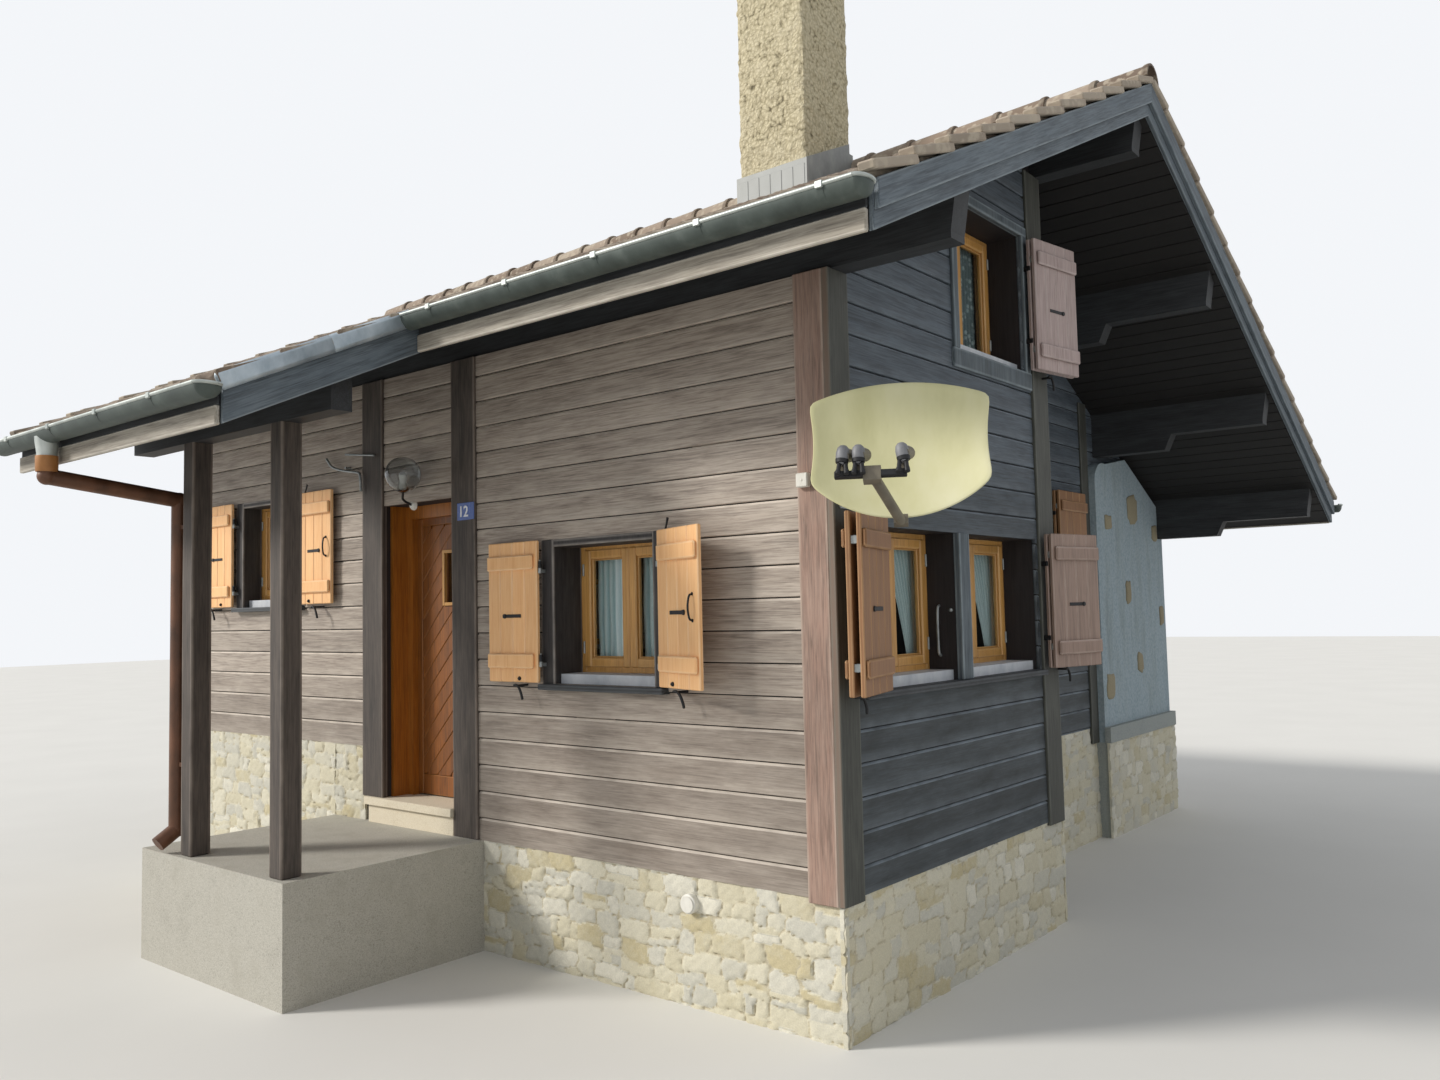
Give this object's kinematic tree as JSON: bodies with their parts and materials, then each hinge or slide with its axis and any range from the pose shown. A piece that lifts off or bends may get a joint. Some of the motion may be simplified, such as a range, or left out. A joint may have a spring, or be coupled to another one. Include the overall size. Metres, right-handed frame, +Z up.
{
  "type": "small alpine chalet",
  "caption": "Small boarded alpine chalet on a rubble plinth with a tiled saddle roof, a porch under a strip of lower roof, a chimney, shuttered windows and an aerial dish.",
  "frame": {"origin": "lowest ground level, under the plinth 150 mm in from both faces of the near corner", "axes": "+X along the ridge out of the near gable, +Y from the entrance side to the back, +Z up"},
  "size_m": [7.9751, 9.51, 6.68],
  "materials": {
    "black_iron": "black paint",
    "blue_enamel": "gloss enamel",
    "brown_metal": "brown enamel",
    "clay_tile": "weathered tile",
    "concrete": "worn concrete",
    "cream_paint": "satin paint",
    "cream_stone": "honed stone",
    "dark_boards": "dark stained boards",
    "dark_timber": "dark stained timber",
    "door_timber": "varnished boards",
    "floor_boards": "plain boards",
    "glass": "clear",
    "grey_metal": "galvanised",
    "lamp_glass": "amber glass",
    "limestone": "rough rubble",
    "orange_stain": "orange stain",
    "pale_board": "weathered bare board",
    "pale_sill": "pale paint",
    "roughcast": "roughcast render",
    "sheet_metal": "dull sheet metal",
    "shutter_paint": "semi-opaque stain",
    "soffit_boards": "dark boards",
    "weathered_board": "weathered dark board",
    "zinc": "weathered zinc"
  },
  "bodies": {
    "house": {"plinth_bay": "limestone", "plinth_porch": "limestone", "plinth_rear": "limestone", "ground_floor": "floor_boards", "attic_floor": "floor_boards", "front_wall_right": "dark_boards", "front_wall_left": "dark_boards", "front_wall_over_door": "dark_boards", "bay_gable_wall": "dark_boards", "bay_return_wall": "dark_boards", "recessed_gable_wall": "dark_boards", "masonry_breast": "roughcast", "masonry_base": "limestone", "back_wall": "dark_boards", "far_gable_wall": "dark_boards", "corner_boards": "dark_timber", "door_posts": "dark_timber", "window_casings": "dark_timber", "wall_plates": "dark_timber", "purlins": "dark_timber", "purlin_corbels": "dark_timber", "roof_deck_front": "soffit_boards", "roof_deck_back": "soffit_boards", "roof_tiles_front": "clay_tile", "roof_tiles_back": "clay_tile", "ridge_tiles": "clay_tile", "barge_boards": "weathered_board", "fascia_boards": "pale_board", "gutters": "zinc", "downpipe": "brown_metal", "chimney_stack": "roughcast", "chimney_flashing": "sheet_metal", "chimney_coping": "concrete", "porch_slab": "concrete", "door_step": "cream_stone", "porch_posts": "dark_timber", "porch_beam": "dark_timber", "door_frame": "orange_stain", "window_frames": "orange_stain", "window_casements": "orange_stain", "window_panes": "glass", "window_sills": "pale_sill", "window_ledges": "dark_timber", "folded_shutters": "shutter_paint", "shutter_pins": "black_iron", "dish": "cream_paint", "dish_mount": "grey_metal", "dish_feed": "grey_metal", "porch_lamp": "lamp_glass", "number_plate": "blue_enamel"},
    "front_door": {"door_leaf": "door_timber", "door_glass": "glass"},
    "front_left_shutter": {"shutter_front_left": "shutter_paint"},
    "front_right_shutter": {"shutter_front_right": "shutter_paint"},
    "porch_left_shutter": {"shutter_porch_left": "shutter_paint"},
    "porch_right_shutter": {"shutter_porch_right": "shutter_paint"}
  },
  "joints": [
    {"name": "front_door_hinge", "type": "hinge", "parent": "house", "child": "front_door", "pos_m": [-3.364, 0.117, 1.8], "axis": [0, 0, 1], "range_deg": [0, 95]},
    {"name": "front_left_shutter_hinge", "type": "hinge", "parent": "house", "child": "front_left_shutter", "pos_m": [-1.816, -0.214, 2], "axis": [0, 0, 1], "range_deg": [0, 180]},
    {"name": "front_right_shutter_hinge", "type": "hinge", "parent": "house", "child": "front_right_shutter", "pos_m": [-0.904, -0.214, 2], "axis": [0, 0, -1], "range_deg": [-20, 160]},
    {"name": "porch_left_shutter_hinge", "type": "hinge", "parent": "house", "child": "porch_left_shutter", "pos_m": [-5.336, -0.214, 2.5], "axis": [0, 0, 1], "range_deg": [0, 180]},
    {"name": "porch_right_shutter_hinge", "type": "hinge", "parent": "house", "child": "porch_right_shutter", "pos_m": [-4.414, -0.214, 2.5], "axis": [0, 0, -1], "range_deg": [0, 180]}
  ]
}
